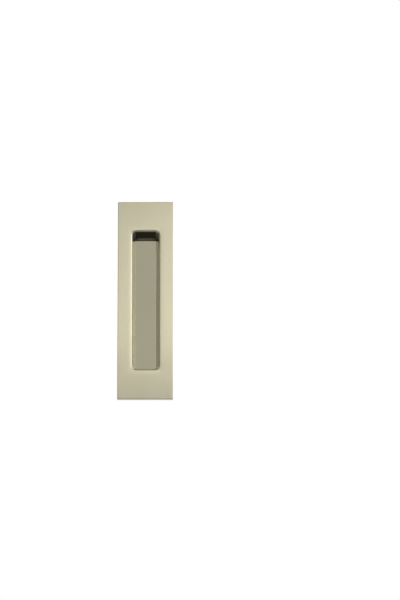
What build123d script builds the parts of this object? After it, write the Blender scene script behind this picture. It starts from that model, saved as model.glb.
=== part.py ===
"""A flush pull for a sliding door: one zinc die casting, pressed into a routed pocket.

Millimetres. +Z is up the door, +X to the right and +Y into the door.
The origin is the centre of the plate's seat, on the door's face.
"""

from build123d import *
import math
import os

# Plate that lies on the door's face
plate_height = 150.0
plate_width = 40.0
plate_thickness = 2.5
plate_corner_radius = 0.9
face_edge_radius = 0.4

# Finger recess, between its walls where they would meet the plate's face
recess_height = 105.0
recess_width = 19.4
recess_depth = 11.0
draft_angle = 10.5
floor_corner_radius = 0.8
floor_fillet = 0.2
lip_radius = 1.4

# Cup behind the recess
cup_wall = 2.0
cup_floor = 2.0
cup_base_fillet = 1.2
cup_root_fillet = 0.5

# Pockets that core out the back of the plate
rim_width = 2.5
core_depth = 1.0
core_corner_radius = 1.0
cup_land = 1.2
stiffener_width = 1.4
side_stiffener_count = 5
end_stiffener_count = 2

# Grip ribs that fill the gap between the drafted cup and the pocket's straight wall
grip_stand_off = 0.5
grip_width = 1.8
grip_crest_width = 0.6
grip_length = 7.0
grip_lead_in = 2.0
side_grip_count = 4
end_grip_count = 2

# Sizes that follow
slope = math.tan(math.radians(draft_angle))
floor_width = recess_width - 2 * recess_depth * slope
floor_height = recess_height - 2 * recess_depth * slope
floor_y = recess_depth - plate_thickness
cup_base_y = floor_y + cup_floor
cup_base_grow = 2 * (cup_wall - cup_floor * slope)
cup_seat_width = floor_width + 2 * (cup_wall + floor_y * slope)
cup_seat_height = floor_height + 2 * (cup_wall + floor_y * slope)
cup_base_corner_radius = floor_corner_radius + cup_wall
cup_seat_corner_radius = cup_base_corner_radius + cup_base_y * slope


def door_plane(y):
    """The plane parallel to the door's face at a depth into the door, looking out at the user."""
    return Plane.XZ.offset(-y)


def spread(length, count):
    """The places of a row of like features, each in the middle of its share of a length."""
    pitch = length / count
    return [(index + 0.5) * pitch - length / 2 for index in range(count)]


def drafted_block(width, height, corner_radius, base_y, length):
    """A block that grows by the draft from its base, deep in the door, towards the user."""
    base = door_plane(base_y) * RectangleRounded(width, height, corner_radius)
    return extrude(base, amount=length, taper=-draft_angle)


def make_plate():
    """The plate, with its front edge rounded over and its back cored out."""
    outline = RectangleRounded(plate_width, plate_height, plate_corner_radius)
    plate = extrude(door_plane(0) * outline, amount=plate_thickness)
    plate = fillet(flat_face_at(plate, -plate_thickness).edges(), face_edge_radius)
    return plate - extrude(door_plane(0) * core_pockets(), amount=core_depth)


def core_pockets():
    """Outlines of the pockets: all that the rim, the cup's land and the stiffeners leave."""
    pockets = Rectangle(plate_width - 2 * rim_width, plate_height - 2 * rim_width)
    pockets -= Rectangle(cup_seat_width + 2 * cup_land, cup_seat_height + 2 * cup_land)
    for z in spread(cup_seat_height, side_stiffener_count):
        pockets -= Pos(0, z) * Rectangle(plate_width, stiffener_width)
    for x in spread(cup_seat_width, end_stiffener_count):
        pockets -= Pos(x, 0) * Rectangle(stiffener_width, plate_height)
    return fillet(pockets.vertices(), core_corner_radius)


def make_cup():
    """The solid that the recess is sunk into, from its rounded base up into the plate."""
    cup = drafted_block(
        floor_width + cup_base_grow,
        floor_height + cup_base_grow,
        cup_base_corner_radius,
        cup_base_y,
        cup_base_y + core_depth,
    )
    return fillet(flat_face_at(cup, cup_base_y).edges(), cup_base_fillet)


def make_grip_rib():
    """One grip rib, with the cup's wall at the seat on x = 0 and its crest square to the plate."""
    root_x = -grip_length * slope - cup_wall / 2
    side = Polyline(
        (root_x, 0),
        (grip_stand_off, 0),
        (grip_stand_off, grip_length - grip_lead_in),
        (-grip_length * slope, grip_length),
        (root_x, grip_length),
        close=True,
    )
    rib = extrude(make_face(side), amount=grip_width / 2, both=True)
    crest = rib.faces().filter_by(Axis.X).sort_by(Axis.X)[-1]
    bevel = (grip_width - grip_crest_width) / 2
    return chamfer(crest.edges().filter_by(Axis.Y), bevel)


def place_grip_ribs():
    """All grip ribs: a row down the flat of each side of the cup, and a pair at each end."""
    rib = make_grip_rib()
    flat_height = cup_seat_height - 2 * cup_seat_corner_radius
    flat_width = cup_seat_width - 2 * cup_seat_corner_radius
    ribs = []
    for turn in (0, 180):
        for z in spread(flat_height, side_grip_count):
            ribs.append(Rot(0, turn, 0) * Pos(cup_seat_width / 2, 0, z) * rib)
        for x in spread(flat_width, end_grip_count):
            ribs.append(Rot(0, turn + 90, 0) * Pos(cup_seat_height / 2, 0, x) * rib)
    return ribs


def make_recess():
    """The hollow for the fingers, run out past the plate's face."""
    overrun = 1.0
    return drafted_block(
        floor_width, floor_height, floor_corner_radius, floor_y, recess_depth + overrun
    )


def flat_face_at(body, y):
    """The face that lies parallel to the door at a depth into it."""
    near = 0.01
    return body.faces().filter_by(Axis.Y).filter_by_position(Axis.Y, y - near, y + near)[0]


def longest_opening(face):
    """The edges of the largest opening in a face."""
    return face.inner_wires().sort_by(SortBy.LENGTH)[-1].edges()


def make_pull_body():
    """The whole casting: its back first, then the recess, its rolled lip and its floor."""
    body = make_plate() + make_cup()
    body = fillet(longest_opening(flat_face_at(body, 0)), cup_root_fillet)
    body += place_grip_ribs()
    body -= make_recess()
    body = fillet(longest_opening(flat_face_at(body, -plate_thickness)), lip_radius)
    return fillet(flat_face_at(body, floor_y).edges(), floor_fillet)


os.makedirs("parts", exist_ok=True)
export_step(make_pull_body(), "parts/pull_body.step")
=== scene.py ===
"""A satin nickel flush pull for a sliding door: its finish, the studio round it and the camera."""

import math

import bpy
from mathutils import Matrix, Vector


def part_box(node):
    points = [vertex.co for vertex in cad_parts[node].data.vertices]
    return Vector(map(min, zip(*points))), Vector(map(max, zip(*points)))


MM = 0.001

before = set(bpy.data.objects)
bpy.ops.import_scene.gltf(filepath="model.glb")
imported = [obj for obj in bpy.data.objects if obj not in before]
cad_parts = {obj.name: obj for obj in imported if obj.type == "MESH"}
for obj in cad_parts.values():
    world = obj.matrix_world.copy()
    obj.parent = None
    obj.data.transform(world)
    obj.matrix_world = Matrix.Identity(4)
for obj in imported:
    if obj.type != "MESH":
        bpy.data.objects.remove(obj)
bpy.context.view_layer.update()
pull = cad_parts["pull_body"]
plate_low, plate_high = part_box("pull_body")

# The view: the photograph looks up at the plate through a long lens, with the pull left of its middle
PHOTO_WIDTH_PX = 400
PHOTO_HEIGHT_PX = 600
PLATE_WIDTH_PX = 55.6
PLATE_CENTRE_X_PX = 145.46
PLATE_CENTRE_Y_PX = 299.91
CAMERA_BELOW_DEG = 19.0
CAMERA_DISTANCE = 4.3
SENSOR_WIDTH_MM = 36.0
NEAREST_SEEN = 0.1
FARTHEST_SEEN = 50.0

# The recess in the CAD: half its width and height where its drafted walls would meet the plate's face, half
# the thickness of those walls, its floor, its rolled lip, and how far the lip widens it at the plate's face
RECESS_HALF_SIZES = {"X": 9.7 * MM, "Z": 52.5 * MM}
WALL_SLOPE = math.tan(math.radians(10.5))
HALF_WALL = 1.0 * MM
FLOOR_Y = 8.5 * MM
LIP_RADIUS = 1.4 * MM
LIP_SPREAD = 1.1 * MM

# How rough the metal is on the brushed face, in the polished recess and on the back left as cast, and the
# share by which the brush lines and the plating's clouds change that
BRUSHED_ROUGHNESS = 0.30
RECESS_ROUGHNESS = 0.09
CAST_ROUGHNESS = 0.36
LINE_UNEVENNESS = 0.08
CLOUD_UNEVENNESS = 0.04

# The patterns, and the range that their noise keeps to nearly everywhere. Real brush lines are a few
# hundredths of a millimetre wide, and a cast skin's grain a few tenths. Both are as coarse as they need
# to be to show
BRUSH_LINE_WIDTH = 0.3 * MM
BRUSH_LINE_LENGTH = 24 * MM
BRUSH_LINE_DEPTH = 0.0005 * MM
PLATING_CLOUD_SIZE = 18 * MM
CAST_SKIN_SIZE = 1.2 * MM
CAST_SKIN_DEPTH = 0.02 * MM
NOISE_LOW = 0.3
NOISE_HIGH = 0.7

# The brush ran up the plate and spreads highlights sideways. Its axis leans a little, so that it is never
# square to a face that looks straight up or down
BRUSH_STRETCH = 0.8
BRUSH_AXIS = (0.0, 0.1, 1.0)

# The buff has pulled the plate's face down all round the opening, most at the lip
OPENING_ROLL_DROP = 0.09 * MM
OPENING_ROLL_REACH = 1.0 * MM

# The colours: plating on the face where it is thick and where it is thin, a paler tint painted on steep faces
# that stands in for whiter highlights, and shade painted into the recess's corners
THICK_NICKEL = "#cfcab0"
THIN_NICKEL = "#cfc9ab"
STEEP_SHEEN_NICKEL = "#cfcab8"
CORNER_SHADE_NICKEL = "#8a8674"

# How far a face looks along Y, from 1 on the plate and the floor to nearly 0 on the walls: where it stops
# counting as flat, and where it is as steep as it gets. Between them the paler tint of painted highlight
# grows
FLAT_LOOK = 0.98
STEEP_LOOK = 0.8

# How far from both walls the shade painted into a corner of the recess begins, and where it is as dark as it
# gets
CORNER_SHADE_START = 2.4 * MM
CORNER_SHADE_FULL = 0.9 * MM

# The surround and the floor, as white as the photograph's, with less light on things than their looks
SURROUND_LOOK = 1.0
SURROUND_LIGHT = 0.6
FLOOR_DROP = 2.0
FLOOR_SIDE = 14.0


def linear(hex_colour):
    """An sRGB hex colour as linear red, green, blue and alpha."""
    channels = [int(hex_colour[i : i + 2], 16) / 255 for i in (1, 3, 5)]
    return [c / 12.92 if c <= 0.04045 else ((c + 0.055) / 1.055) ** 2.4 for c in channels] + [1]


WHITE = linear("#ffffff")
PAPER = linear("#f2f2f2")


def add_node(tree, kind, inputs=None, **settings):
    """A node with its settings, and with its inputs set to values or linked from other nodes.

    A node that is given as an input stands for its first output.
    """
    node = tree.nodes.new(kind)
    for name, value in settings.items():
        setattr(node, name, value)
    for name, value in (inputs or {}).items():
        if isinstance(value, bpy.types.Node):
            value = value.outputs[0]
        if isinstance(value, bpy.types.NodeSocket):
            tree.links.new(value, node.inputs[name])
        else:
            node.inputs[name].default_value = value
    return node


def empty_material(name):
    """A material with no nodes yet."""
    material = bpy.data.materials.new(name)
    material.use_nodes = True
    material.node_tree.nodes.clear()
    return material


def casting_masks(tree, axes):
    """Where a point is on the casting, from 0 to 1: down the lip, in the recess, and in its four corners,
    where shade is painted.
    """
    down_lip = add_node(tree, "ShaderNodeMapRange", {
        "Value": axes.outputs["Y"],
        "From Min": plate_low.y,
        "From Max": plate_low.y + LIP_RADIUS,
    }, interpolation_type="SMOOTHSTEP")

    # The recess's walls close in with depth. A point is the recess's up to the middle of their thickness,
    # and the back's from there on
    depth = add_node(tree, "ShaderNodeMath", {0: axes.outputs["Y"], 1: -plate_low.y}, operation="ADD")
    drawn_in = add_node(tree, "ShaderNodeMath", {0: depth, 1: WALL_SLOPE}, operation="MULTIPLY")
    recess = add_node(tree, "ShaderNodeMath", {0: axes.outputs["Y"], 1: FLOOR_Y + HALF_WALL},
                      operation="LESS_THAN")
    corner_shade = down_lip
    for axis, half in RECESS_HALF_SIZES.items():
        from_middle = add_node(tree, "ShaderNodeMath", {0: axes.outputs[axis]}, operation="ABSOLUTE")
        out_at_face = add_node(tree, "ShaderNodeMath", {0: from_middle, 1: drawn_in}, operation="ADD")
        within = add_node(tree, "ShaderNodeMath", {0: out_at_face, 1: half + HALF_WALL},
                          operation="LESS_THAN")
        recess = add_node(tree, "ShaderNodeMath", {0: recess, 1: within}, operation="MULTIPLY")
        # A point near both walls is in a corner of the recess, where shade is painted
        near_wall = add_node(tree, "ShaderNodeMapRange", {
            "Value": out_at_face,
            "From Min": half - CORNER_SHADE_START,
            "From Max": half - CORNER_SHADE_FULL,
        }, interpolation_type="SMOOTHSTEP")
        corner_shade = add_node(tree, "ShaderNodeMath", {0: corner_shade, 1: near_wall}, operation="MULTIPLY")
    corner_shade = add_node(tree, "ShaderNodeMath", {0: corner_shade, 1: recess}, operation="MULTIPLY")
    return down_lip, recess, corner_shade


def plating_patterns(tree, place):
    """The brush lines that run up the plate, and soft clouds where the plating is thicker and thinner."""
    grain = add_node(tree, "ShaderNodeMapping", {
        "Vector": place,
        "Scale": (1 / BRUSH_LINE_WIDTH, 1 / BRUSH_LINE_WIDTH, 1 / BRUSH_LINE_LENGTH),
    })
    lines = add_node(tree, "ShaderNodeTexNoise", {
        "Vector": grain,
        "Scale": 1.0,
        "Detail": 2.0,
        "Roughness": 0.6,
    })
    clouds = add_node(tree, "ShaderNodeTexNoise", {
        "Vector": place,
        "Scale": 1 / PLATING_CLOUD_SIZE,
        "Detail": 3.0,
    })
    return lines, clouds


def finish_roughness(tree, down_lip, recess, lines, clouds):
    """A brushed face, a polished recess and a back left as cast, each uneven with the lines and clouds."""
    past_face = add_node(tree, "ShaderNodeMapRange", {
        "Value": recess,
        "To Min": CAST_ROUGHNESS,
        "To Max": RECESS_ROUGHNESS,
    })
    roughness = add_node(tree, "ShaderNodeMix", {
        "Factor": down_lip,
        "A": BRUSHED_ROUGHNESS,
        "B": past_face,
    })
    for pattern, share in ((lines, LINE_UNEVENNESS), (clouds, CLOUD_UNEVENNESS)):
        uneven = add_node(tree, "ShaderNodeMapRange", {
            "Value": pattern,
            "From Min": NOISE_LOW,
            "From Max": NOISE_HIGH,
            "To Min": 1 - share,
            "To Max": 1 + share,
        })
        roughness = add_node(tree, "ShaderNodeMath", {0: roughness, 1: uneven}, operation="MULTIPLY")
    return roughness


def colour_with_painted_shade(tree, normal, corner_shade, clouds):
    """Warm nickel, deeper where the plating is thin, with a paler tint painted on steep faces for whiter
    highlights, and shade painted into the corners.
    """
    colour = add_node(tree, "ShaderNodeMix", {
        "Factor": clouds,
        "A": linear(THICK_NICKEL),
        "B": linear(THIN_NICKEL),
    }, data_type="RGBA")
    along = add_node(tree, "ShaderNodeSeparateXYZ", {0: normal})
    look = add_node(tree, "ShaderNodeMath", {0: along.outputs["Y"]}, operation="ABSOLUTE")
    # Steep faces take a paler tint, painted so that their highlights look whiter
    steep_sheen = add_node(tree, "ShaderNodeMapRange", {
        "Value": look,
        "From Min": FLAT_LOOK,
        "From Max": STEEP_LOOK,
    })
    # Mixes in the paler tint painted on steep faces and the shade painted into the corners
    for where, nickel in ((steep_sheen, STEEP_SHEEN_NICKEL), (corner_shade, CORNER_SHADE_NICKEL)):
        colour = add_node(tree, "ShaderNodeMix", {
            "Factor": where,
            "A": colour.outputs["Result"],
            "B": linear(nickel),
        }, data_type="RGBA")
    return colour.outputs["Result"]


def finish_relief(tree, place, axes, lines, down_lip, recess):
    """Brush lines and the buffed roll round the opening on the face, and the cast skin on the back."""
    beyond = {}
    for axis, half in RECESS_HALF_SIZES.items():
        from_middle = add_node(tree, "ShaderNodeMath", {0: axes.outputs[axis]}, operation="ABSOLUTE")
        past_edge = add_node(tree, "ShaderNodeMath", {0: from_middle, 1: half + LIP_SPREAD},
                             operation="SUBTRACT")
        beyond[axis] = add_node(tree, "ShaderNodeMath", {0: past_edge, 1: 0.0}, operation="MAXIMUM")
    away = add_node(tree, "ShaderNodeCombineXYZ", beyond)
    from_opening = add_node(tree, "ShaderNodeVectorMath", {0: away}, operation="LENGTH").outputs["Value"]
    fade = add_node(tree, "ShaderNodeMath", {0: from_opening, 1: -1 / OPENING_ROLL_REACH},
                    operation="MULTIPLY")
    roll = add_node(tree, "ShaderNodeMath", {0: fade}, operation="EXPONENT")
    dip = add_node(tree, "ShaderNodeMath", {0: roll, 1: -OPENING_ROLL_DROP}, operation="MULTIPLY")
    scratch = add_node(tree, "ShaderNodeMath", {0: lines, 1: BRUSH_LINE_DEPTH}, operation="MULTIPLY")
    brushed = add_node(tree, "ShaderNodeMath", {0: dip, 1: scratch}, operation="ADD")
    on_face = add_node(tree, "ShaderNodeMath", {0: 1.0, 1: down_lip}, operation="SUBTRACT")
    brushed = add_node(tree, "ShaderNodeMath", {0: brushed, 1: on_face}, operation="MULTIPLY")

    skin = add_node(tree, "ShaderNodeTexNoise", {"Vector": place, "Scale": 1 / CAST_SKIN_SIZE, "Detail": 2.0})
    skin = add_node(tree, "ShaderNodeMath", {0: skin, 1: CAST_SKIN_DEPTH}, operation="MULTIPLY")
    on_back = add_node(tree, "ShaderNodeMath", {0: down_lip, 1: recess}, operation="SUBTRACT", use_clamp=True)
    skin = add_node(tree, "ShaderNodeMath", {0: skin, 1: on_back}, operation="MULTIPLY")

    relief = add_node(tree, "ShaderNodeMath", {0: brushed, 1: skin}, operation="ADD")
    return add_node(tree, "ShaderNodeBump", {"Strength": 1.0, "Distance": 1.0, "Height": relief})


def satin_nickel():
    """Satin nickel plate on a polished zinc die casting.

    The plate is brushed lengthwise before plating, which spreads its highlights sideways in fine lines. The
    recess is too narrow for the brush: it is only polished, so it mirrors its own walls. Its corners are
    painted darker as shade, and steep faces paler for whiter highlights. The back is left as cast.
    """
    material = empty_material("satin_nickel_plated_zinc_die_casting")
    tree = material.node_tree
    place = add_node(tree, "ShaderNodeTexCoord").outputs["Object"]
    axes = add_node(tree, "ShaderNodeSeparateXYZ", {0: place})
    normal = add_node(tree, "ShaderNodeNewGeometry").outputs["Normal"]
    down_lip, recess, corner_shade = casting_masks(tree, axes)
    lines, clouds = plating_patterns(tree, place)
    metal = add_node(tree, "ShaderNodeBsdfPrincipled", {
        "Base Color": colour_with_painted_shade(tree, normal, corner_shade, clouds),
        "Metallic": 1.0,
        "Roughness": finish_roughness(tree, down_lip, recess, lines, clouds),
        "Anisotropic": BRUSH_STRETCH,
        "Tangent": add_node(tree, "ShaderNodeVectorMath", {0: normal, 1: BRUSH_AXIS},
                            operation="CROSS_PRODUCT"),
        "Normal": finish_relief(tree, place, axes, lines, down_lip, recess),
    })
    add_node(tree, "ShaderNodeOutputMaterial", {"Surface": metal})
    return material


def seen_or_lighting(tree, seen, lighting):
    """One shader for the camera and for reflections, and another for the light that falls on things."""
    path = add_node(tree, "ShaderNodeLightPath").outputs
    mirrored = add_node(tree, "ShaderNodeMath", {0: path["Is Glossy Ray"], 1: path["Is Transmission Ray"]},
                        operation="MAXIMUM")
    watched = add_node(tree, "ShaderNodeMath", {0: path["Is Camera Ray"], 1: mirrored},
                       operation="MAXIMUM")
    return add_node(tree, "ShaderNodeMixShader", {0: watched, 1: lighting, 2: seen})


def make_world():
    """A white surround, with a softer light on things than its looks."""
    world = bpy.data.worlds.new("white_surround")
    world.use_nodes = True
    tree = world.node_tree
    tree.nodes.clear()
    look = add_node(tree, "ShaderNodeBackground", {"Color": WHITE, "Strength": SURROUND_LOOK})
    light = add_node(tree, "ShaderNodeBackground", {"Color": WHITE, "Strength": SURROUND_LIGHT})
    add_node(tree, "ShaderNodeOutputWorld", {"Surface": seen_or_lighting(tree, look, light)})
    bpy.context.scene.world = world


def matt_white_paper():
    """Matt white backdrop paper, which looks as white as the surround and is lit as paper is."""
    material = empty_material("matt_white_paper")
    tree = material.node_tree
    look = add_node(tree, "ShaderNodeEmission", {"Color": WHITE, "Strength": SURROUND_LOOK})
    paper = add_node(tree, "ShaderNodeBsdfDiffuse", {"Color": PAPER})
    add_node(tree, "ShaderNodeOutputMaterial", {"Surface": seen_or_lighting(tree, look, paper)})
    return material


def make_floor():
    """The pale floor, far enough down that no camera round the pull goes under it."""
    bpy.ops.mesh.primitive_plane_add(size=FLOOR_SIDE, location=(0, 0, -FLOOR_DROP))
    floor = bpy.context.object
    floor.name = "floor"
    floor.data.materials.append(matt_white_paper())


def stand(item, place, towards, front):
    """Puts an object at its place, with its front axis turned towards a direction."""
    item.location = place
    item.rotation_mode = "QUATERNION"
    item.rotation_quaternion = towards.to_track_quat(front, "Y")


def rig_panel(turn, rise, across, tall, distance):
    """Where a panel of the rig stands, and its width and height.

    Turn is the angle from straight in front of the pull towards its right, and rise is above the level.
    Across and tall are the angles that the panel fills. All four are in degrees.
    """
    level = distance * math.cos(math.radians(rise))
    place = Vector((
        level * math.sin(math.radians(turn)),
        -level * math.cos(math.radians(turn)),
        distance * math.sin(math.radians(rise)),
    ))
    width = 2 * distance * math.tan(math.radians(across / 2))
    height = 2 * distance * math.tan(math.radians(tall / 2))
    return place, width, height


def make_card(name, turn, rise, across, tall, distance, grey):
    """A plain card that the metal mirrors and the camera doesn't see, where grey 1 is as bright as white."""
    place, width, height = rig_panel(turn, rise, across, tall, distance)
    bpy.ops.mesh.primitive_plane_add(size=1)
    card = bpy.context.object
    card.name = name
    card.scale = (width, height, 1)
    stand(card, place, -place, "Z")
    material = empty_material(name)
    glow = add_node(material.node_tree, "ShaderNodeEmission", {"Color": WHITE, "Strength": grey})
    add_node(material.node_tree, "ShaderNodeOutputMaterial", {"Surface": glow})
    card.data.materials.append(material)
    card.visible_camera = False
    card.visible_shadow = False
    card.visible_diffuse = False


def make_lamp(name, turn, rise, across, tall, distance, brightness):
    """A soft box of a given surface brightness, where 1 is as bright as white."""
    place, width, height = rig_panel(turn, rise, across, tall, distance)
    lamp = bpy.data.lights.new(name, "AREA")
    lamp.shape = "RECTANGLE"
    lamp.size = width
    lamp.size_y = height
    lamp.energy = brightness * math.pi * width * height
    holder = bpy.data.objects.new(name, lamp)
    bpy.context.scene.collection.objects.link(holder)
    stand(holder, place, -place, "-Z")
    holder.visible_camera = False


def make_camera():
    """The long lens below the plate, turned up to it."""
    camera = bpy.data.cameras.new("camera")
    holder = bpy.data.objects.new("camera", camera)
    bpy.context.scene.collection.objects.link(holder)
    pixel = (plate_high.x - plate_low.x) / PLATE_WIDTH_PX
    camera.sensor_width = SENSOR_WIDTH_MM
    camera.lens = SENSOR_WIDTH_MM * CAMERA_DISTANCE / (PHOTO_HEIGHT_PX * pixel)
    camera.clip_start = NEAREST_SEEN
    camera.clip_end = FARTHEST_SEEN
    tilt = math.radians(CAMERA_BELOW_DEG)
    forward = Vector((0, math.cos(tilt), math.sin(tilt)))
    up = Vector((0, -math.sin(tilt), math.cos(tilt)))
    right = Vector((1, 0, 0))
    aim = Vector((0, plate_low.y, 0))
    aim = aim + right * (PHOTO_WIDTH_PX / 2 - PLATE_CENTRE_X_PX) * pixel
    aim = aim - up * (PHOTO_HEIGHT_PX / 2 - PLATE_CENTRE_Y_PX) * pixel
    stand(holder, aim - forward * CAMERA_DISTANCE, forward, "-Z")
    bpy.context.scene.camera = holder


bpy.ops.object.select_all(action="DESELECT")
pull.data.materials.clear()
pull.data.materials.append(satin_nickel())

make_world()
make_floor()
make_camera()

# The metal shows what it mirrors, so the photograph's lights and darks come from panels round the pull.
# The front card is what the recess's floor mirrors, and the level flag darkens the foot of the black band
make_card("front_card", turn=0, rise=24, across=15, tall=25, distance=0.50, grey=0.54)
make_card("level_flag", turn=0, rise=2.5, across=24, tall=13.5, distance=1.05, grey=0.05)

# Shade for the lower face and the ends of the black band, and for the face in views from the side
make_card("left_shade_card", turn=-38, rise=3, across=54, tall=14, distance=0.56, grey=0.04)
make_card("right_shade_card", turn=38, rise=3, across=54, tall=14, distance=0.56, grey=0.14)
make_card("left_low_card", turn=-38, rise=-17, across=50, tall=26, distance=0.66, grey=0.32)
make_card("right_low_card", turn=38, rise=-17, across=50, tall=26, distance=0.66, grey=0.32)

# The low flag makes the black band, which is the recess's ceiling. The cards round and under it are grey, so
# that the face isn't black in views from above
make_card("low_flag", turn=0, rise=-40, across=34, tall=16, distance=1.05, grey=0.03)
make_card("low_back_card", turn=0, rise=-42, across=112, tall=34, distance=1.10, grey=0.40)
make_card("under_card", turn=0, rise=-90, across=70, tall=70, distance=1.05, grey=0.30)

# These darken, in turn, the recess's right wall and lip, its left wall, the plate's left edge, and the line
# at the recess's lower end
make_card("front_left_flag", turn=-43, rise=38, across=68, tall=74, distance=1.10, grey=0.28)
make_card("front_right_card", turn=25.5, rise=25, across=15, tall=50, distance=1.08, grey=0.60)
make_card("left_flag", turn=-125, rise=10, across=96, tall=100, distance=0.90, grey=0.12)
make_card("top_flag", turn=0, rise=60, across=50, tall=32, distance=1.15, grey=0.05)

# The strips light the face, most on its right, and the cores add some lower down. The box lights the left lip
make_lamp("left_strip", turn=-13, rise=20.5, across=9, tall=18, distance=0.46, brightness=0.91)
make_lamp("right_strip", turn=13, rise=20.5, across=9, tall=18, distance=0.46, brightness=2.07)
make_lamp("left_core", turn=-12.5, rise=15.0, across=9, tall=7, distance=0.42, brightness=0.31)
make_lamp("right_core", turn=12.5, rise=15.0, across=9, tall=7, distance=0.42, brightness=1.04)
make_lamp("right_box", turn=85, rise=18, across=60, tall=30, distance=0.60, brightness=1.43)

bpy.context.scene.view_settings.view_transform = "Standard"
